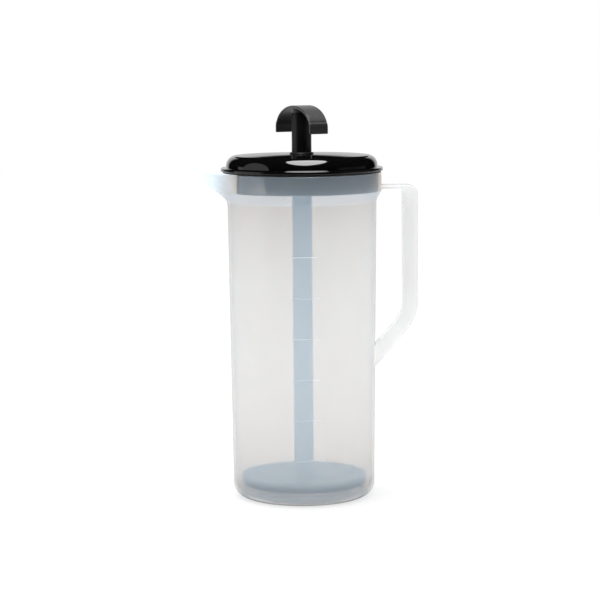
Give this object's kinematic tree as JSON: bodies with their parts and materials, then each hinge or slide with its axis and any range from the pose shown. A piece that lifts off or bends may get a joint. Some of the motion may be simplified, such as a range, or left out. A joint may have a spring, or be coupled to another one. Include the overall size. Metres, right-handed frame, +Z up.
{
  "type": "quick stir pitcher",
  "caption": "Tall translucent pitcher with a spout and loop handle, a press-in lid that turns, and a plunger with an arched grip and a slotted mixing disc for stirring drinks.",
  "frame": {"origin": "centre of the underside, on the pitcher's upright axis, at the level that the foot stands on", "axes": "+Z up the pitcher's axis, -X towards the spout, +X towards the handle"},
  "size_m": [0.1539, 0.1172, 0.2846],
  "materials": {
    "pitcher_plastic": "translucent satin",
    "lid_plastic": "gloss",
    "plunger_plastic": "satin",
    "seal_rubber": "matte"
  },
  "bodies": {
    "pitcher": {"pitcher_body": "pitcher_plastic"},
    "seal": {"lid_seal": "seal_rubber"},
    "lid": {"lid_cover": "lid_plastic"},
    "bush": {"shaft_bush": "seal_rubber"},
    "plunger": {"plunger_shaft": "plunger_plastic", "plunger_grip": "plunger_plastic", "mixing_disc": "plunger_plastic"}
  },
  "joints": [
    {"name": "lid_lift", "type": "slide", "parent": "pitcher", "child": "seal", "axis": [0, 0, 1], "range_m": [0, 0.24]},
    {"name": "lid_turn", "type": "hinge", "parent": "seal", "child": "lid", "pos_m": [0, 0, 0.2377], "axis": [0, 0, 1], "continuous": true},
    {"name": "shaft_turn", "type": "hinge", "parent": "lid", "child": "bush", "pos_m": [0, 0, 0.248], "axis": [0, 0, 1], "continuous": true},
    {"name": "plunger_stroke", "type": "slide", "parent": "bush", "child": "plunger", "axis": [0, 0, 1], "range_m": [0, 0.226]}
  ]
}
